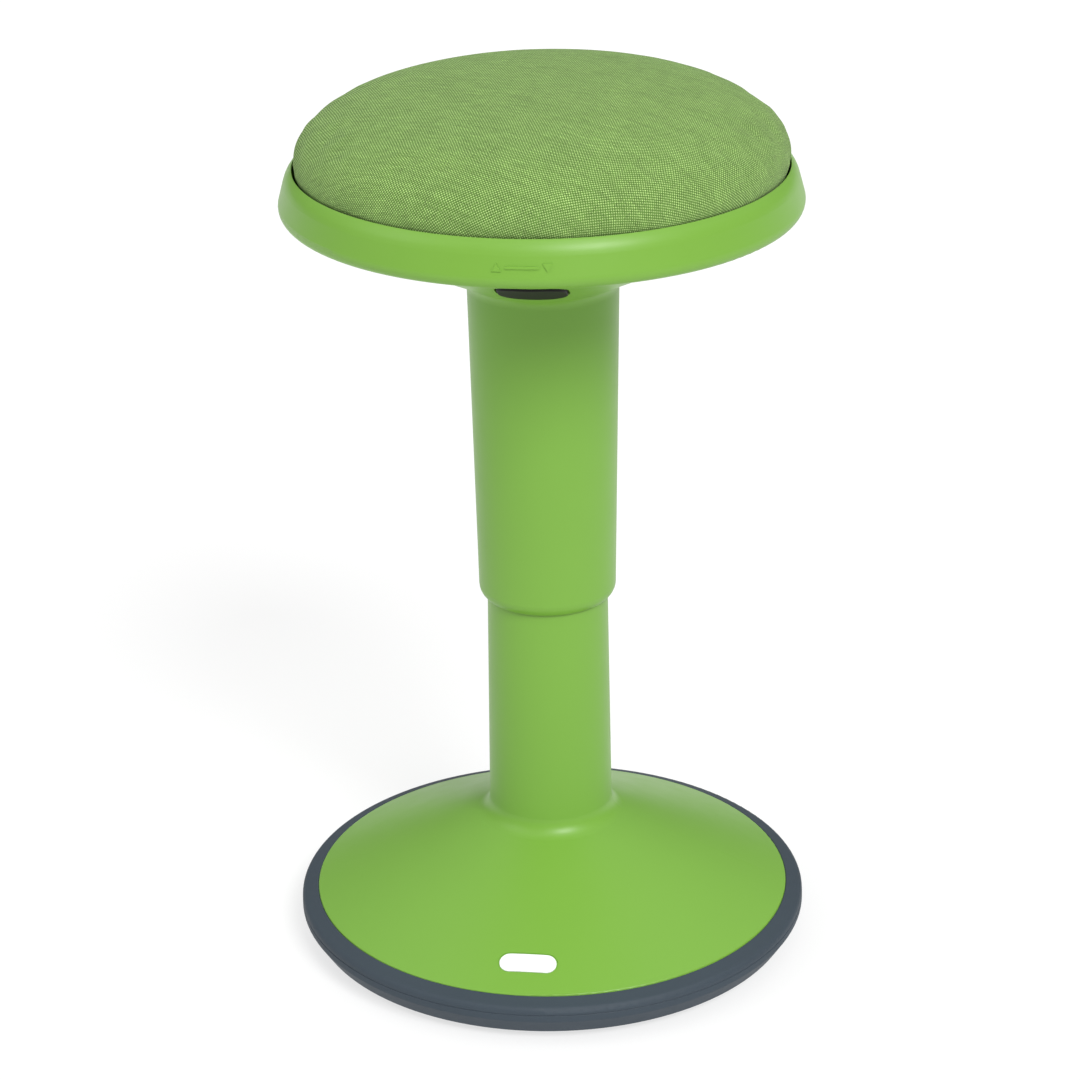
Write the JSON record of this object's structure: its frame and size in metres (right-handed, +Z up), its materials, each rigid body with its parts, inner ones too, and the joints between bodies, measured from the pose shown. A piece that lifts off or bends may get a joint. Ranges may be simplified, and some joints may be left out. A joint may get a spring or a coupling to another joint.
{
  "type": "height-adjustable wobble stool",
  "caption": "Active-sitting stool: round padded seat on a gas-lift column over a rounded rubber-soled base that rocks, with a lift button under the seat.",
  "frame": {"origin": "on the floor, at the middle of the base, directly under the column", "axes": "+Z up along the column; -Y is the front, the side with the lift button"},
  "size_m": [0.341, 0.341, 0.5906],
  "materials": {
    "green_plastic": "satin",
    "charcoal_plastic": "satin",
    "black_plastic": "matte",
    "white_plastic": "satin",
    "white_nylon": "satin",
    "grey_rubber": "matte",
    "black_rubber": "matte",
    "green_fabric": "matte",
    "foam": "matte",
    "plywood": "matte",
    "black_steel": "satin",
    "zinc_steel": "satin",
    "polished_steel": "polished",
    "chrome_cylinder": "polished",
    "aluminium_piston": "satin",
    "brass_cage": "satin"
  },
  "bodies": {
    "base": {"base_shell": "green_plastic", "rocker_sole": "grey_rubber", "base_dish": "black_plastic", "centre_cover": "black_plastic", "badge_plate": "white_plastic", "base_screws": "zinc_steel", "hub_socket": "black_steel", "socket_bolts": "zinc_steel", "column_tube": "black_steel", "column_spacer": "black_plastic", "guide_bush": "white_nylon", "lower_race": "polished_steel"},
    "ball_cage": {"bearing_cage": "brass_cage", "bearing_balls": "polished_steel"},
    "rod": {"upper_race": "polished_steel", "stop_bumper": "black_rubber", "piston_rod": "polished_steel", "piston": "aluminium_piston", "piston_ring": "black_rubber", "clip_washer": "zinc_steel", "retaining_clip": "zinc_steel"},
    "seat": {"gas_cylinder": "chrome_cylinder", "rod_guide": "aluminium_piston", "rod_seal": "black_rubber", "valve_body": "polished_steel", "seat_shell": "green_plastic", "mount_plate": "black_steel", "mount_screws": "zinc_steel", "lever_bracket": "zinc_steel", "bracket_screws": "zinc_steel", "lever_pin": "polished_steel", "pin_clip": "zinc_steel", "cushion_board": "plywood", "board_nuts": "zinc_steel", "cushion_screws": "zinc_steel", "cushion_foam": "foam", "cushion_cover": "green_fabric", "cover_staples": "zinc_steel"},
    "lever": {"release_lever": "zinc_steel", "lift_button": "charcoal_plastic", "button_screws": "zinc_steel"},
    "valve": {"valve_pin": "polished_steel"}
  },
  "joints": [
    {"name": "seat_swivel", "type": "hinge", "parent": "base", "child": "rod", "pos_m": [0, 0, 0.0205], "axis": [0, 0, 1], "continuous": true},
    {"name": "cage_spin", "type": "hinge", "parent": "base", "child": "ball_cage", "pos_m": [0, 0, 0.018], "axis": [0, 0, 1], "continuous": true},
    {"name": "seat_lift", "type": "slide", "parent": "rod", "child": "seat", "axis": [0, 0, 1], "range_m": [-0.14, 0]},
    {"name": "button_press", "type": "hinge", "parent": "seat", "child": "lever", "pos_m": [0, -0.028, 0.489], "axis": [-1, 0, 0], "range_deg": [0, 5.5], "stiffness_Nm_per_rad": 15, "springref_deg": -3.44},
    {"name": "valve_pin_travel", "type": "slide", "parent": "seat", "child": "valve", "axis": [0, 0, -1], "range_m": [0, 0.0028]}
  ],
  "couplings": [
    {"joint": "cage_spin", "follows": "seat_swivel", "ratio": 0.5},
    {"joint": "valve_pin_travel", "follows": "button_press", "m_per_rad": 0.028}
  ]
}
